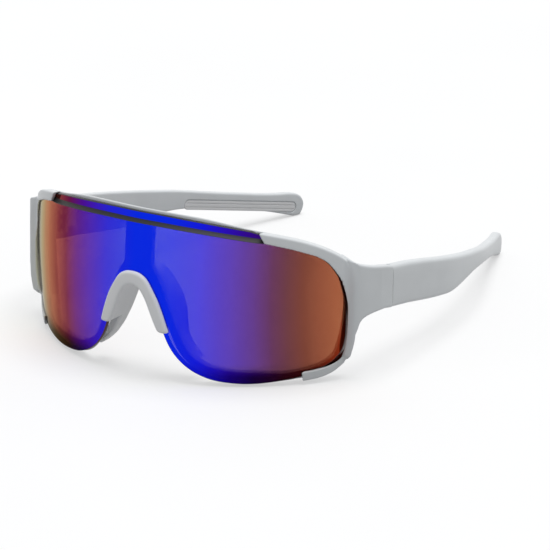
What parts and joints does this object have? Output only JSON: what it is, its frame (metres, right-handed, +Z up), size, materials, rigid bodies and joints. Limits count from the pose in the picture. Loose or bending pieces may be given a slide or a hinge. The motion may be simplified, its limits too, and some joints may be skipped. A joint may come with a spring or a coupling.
{
  "type": "sports sunglasses",
  "caption": "Wrap-around sports sunglasses with one mirrored shield lens, a pale half-open frame, a hooked nose bridge and two folding temples.",
  "frame": {"origin": "below the middle of the open glasses' outer box, on the surface that the lower rims and the temple tips stand on", "axes": "+Z up, -Y the way the lens faces, +X the wearer's left"},
  "size_m": [0.142, 0.1941, 0.0614],
  "materials": {
    "lens": "mirror-coated, blue in the middle to red at the sides",
    "frame_plastic": "satin pale grey",
    "nose_rubber": "soft pale grey",
    "grip_rubber": "soft pale grey",
    "hinge_metal": "fine brushed",
    "screw_metal": "turned"
  },
  "bodies": {
    "front": {"shield_lens": "lens", "front_frame": "frame_plastic", "nose_bridge": "nose_rubber", "hinge_front_leaf_left": "hinge_metal", "hinge_front_leaf_right": "hinge_metal", "hinge_screw_left": "screw_metal", "hinge_screw_right": "screw_metal"},
    "temple_left_arm": {"temple_left": "frame_plastic", "temple_grip_left": "grip_rubber", "hinge_temple_leaf_left": "hinge_metal"},
    "temple_right_arm": {"temple_right": "frame_plastic", "temple_grip_right": "grip_rubber", "hinge_temple_leaf_right": "hinge_metal"}
  },
  "joints": [
    {"name": "fold_left", "type": "hinge", "parent": "front", "child": "temple_left_arm", "pos_m": [0.06545, -0.03803, 0.0301], "axis": [0, 0, 1], "range_deg": [0, 84]},
    {"name": "fold_right", "type": "hinge", "parent": "front", "child": "temple_right_arm", "pos_m": [-0.06545, -0.03803, 0.0301], "axis": [0, 0, -1], "range_deg": [0, 76]}
  ]
}
